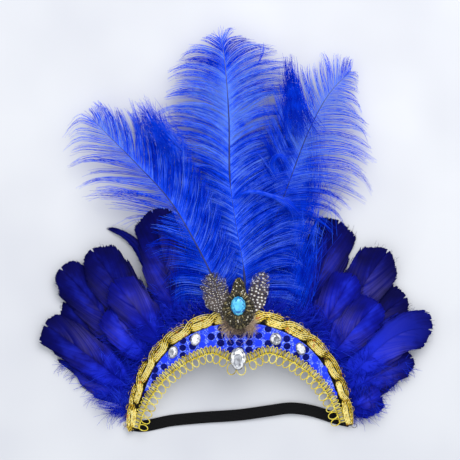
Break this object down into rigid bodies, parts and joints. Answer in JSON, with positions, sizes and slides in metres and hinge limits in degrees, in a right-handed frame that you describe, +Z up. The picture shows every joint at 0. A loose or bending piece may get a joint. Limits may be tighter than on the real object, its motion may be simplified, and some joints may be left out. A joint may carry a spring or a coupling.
{
  "type": "showgirl feather headdress",
  "caption": "Stage headdress: a bowed felt crescent with sequin cloth, gold trims and cut stones, fans of goose feathers, ostrich plumes and an elastic that holds it on the head.",
  "frame": {"origin": "on the surface it lies on, under the middle of its outline", "axes": "+X to the right as seen from above, +Y from the elastic to the plume tips, +Z up from the surface"},
  "size_m": [0.446, 0.4677, 0.0586],
  "materials": {
    "felt": "matte black felt",
    "sequin": "blue glitter cloth with dark blue sequin dots",
    "gold": "braided metallic gold thread",
    "bronze": "dark bronze beads",
    "crystal": "clear cut stone with a foil back",
    "turquoise": "turquoise cut stone with a foil back",
    "guinea": "grey-brown feather with white dots",
    "down": "soft brown down",
    "goose": "dyed royal blue feather, navy at the tip",
    "ostrich": "dyed bright blue plume",
    "elastic": "black ribbed elastic"
  },
  "bodies": {
    "root": {"felt_base": "felt", "sequin_facing": "sequin", "gold_braid": "gold", "loop_trim": "gold", "elastic_strap": "elastic", "crystal_left_outer": "crystal", "crystal_left_inner": "crystal", "crystal_right_inner": "crystal", "crystal_right_outer": "crystal", "crystal_drop": "crystal", "medallion": "bronze", "turquoise_stone": "turquoise", "guinea_down": "down", "guinea_left": "guinea", "guinea_right": "guinea", "goose_left_1": "goose", "goose_left_2": "goose", "goose_left_3": "goose", "goose_left_4": "goose", "goose_left_5": "goose", "goose_left_6": "goose", "goose_left_7": "goose", "goose_left_8": "goose", "goose_left_9": "goose", "goose_left_10": "goose", "goose_right_1": "goose", "goose_right_2": "goose", "goose_right_3": "goose", "goose_right_4": "goose", "goose_right_5": "goose", "goose_right_6": "goose", "goose_right_7": "goose", "goose_right_8": "goose", "goose_right_9": "goose", "plume_left": "ostrich", "plume_centre": "ostrich", "plume_right": "ostrich"}
  },
  "joints": []
}
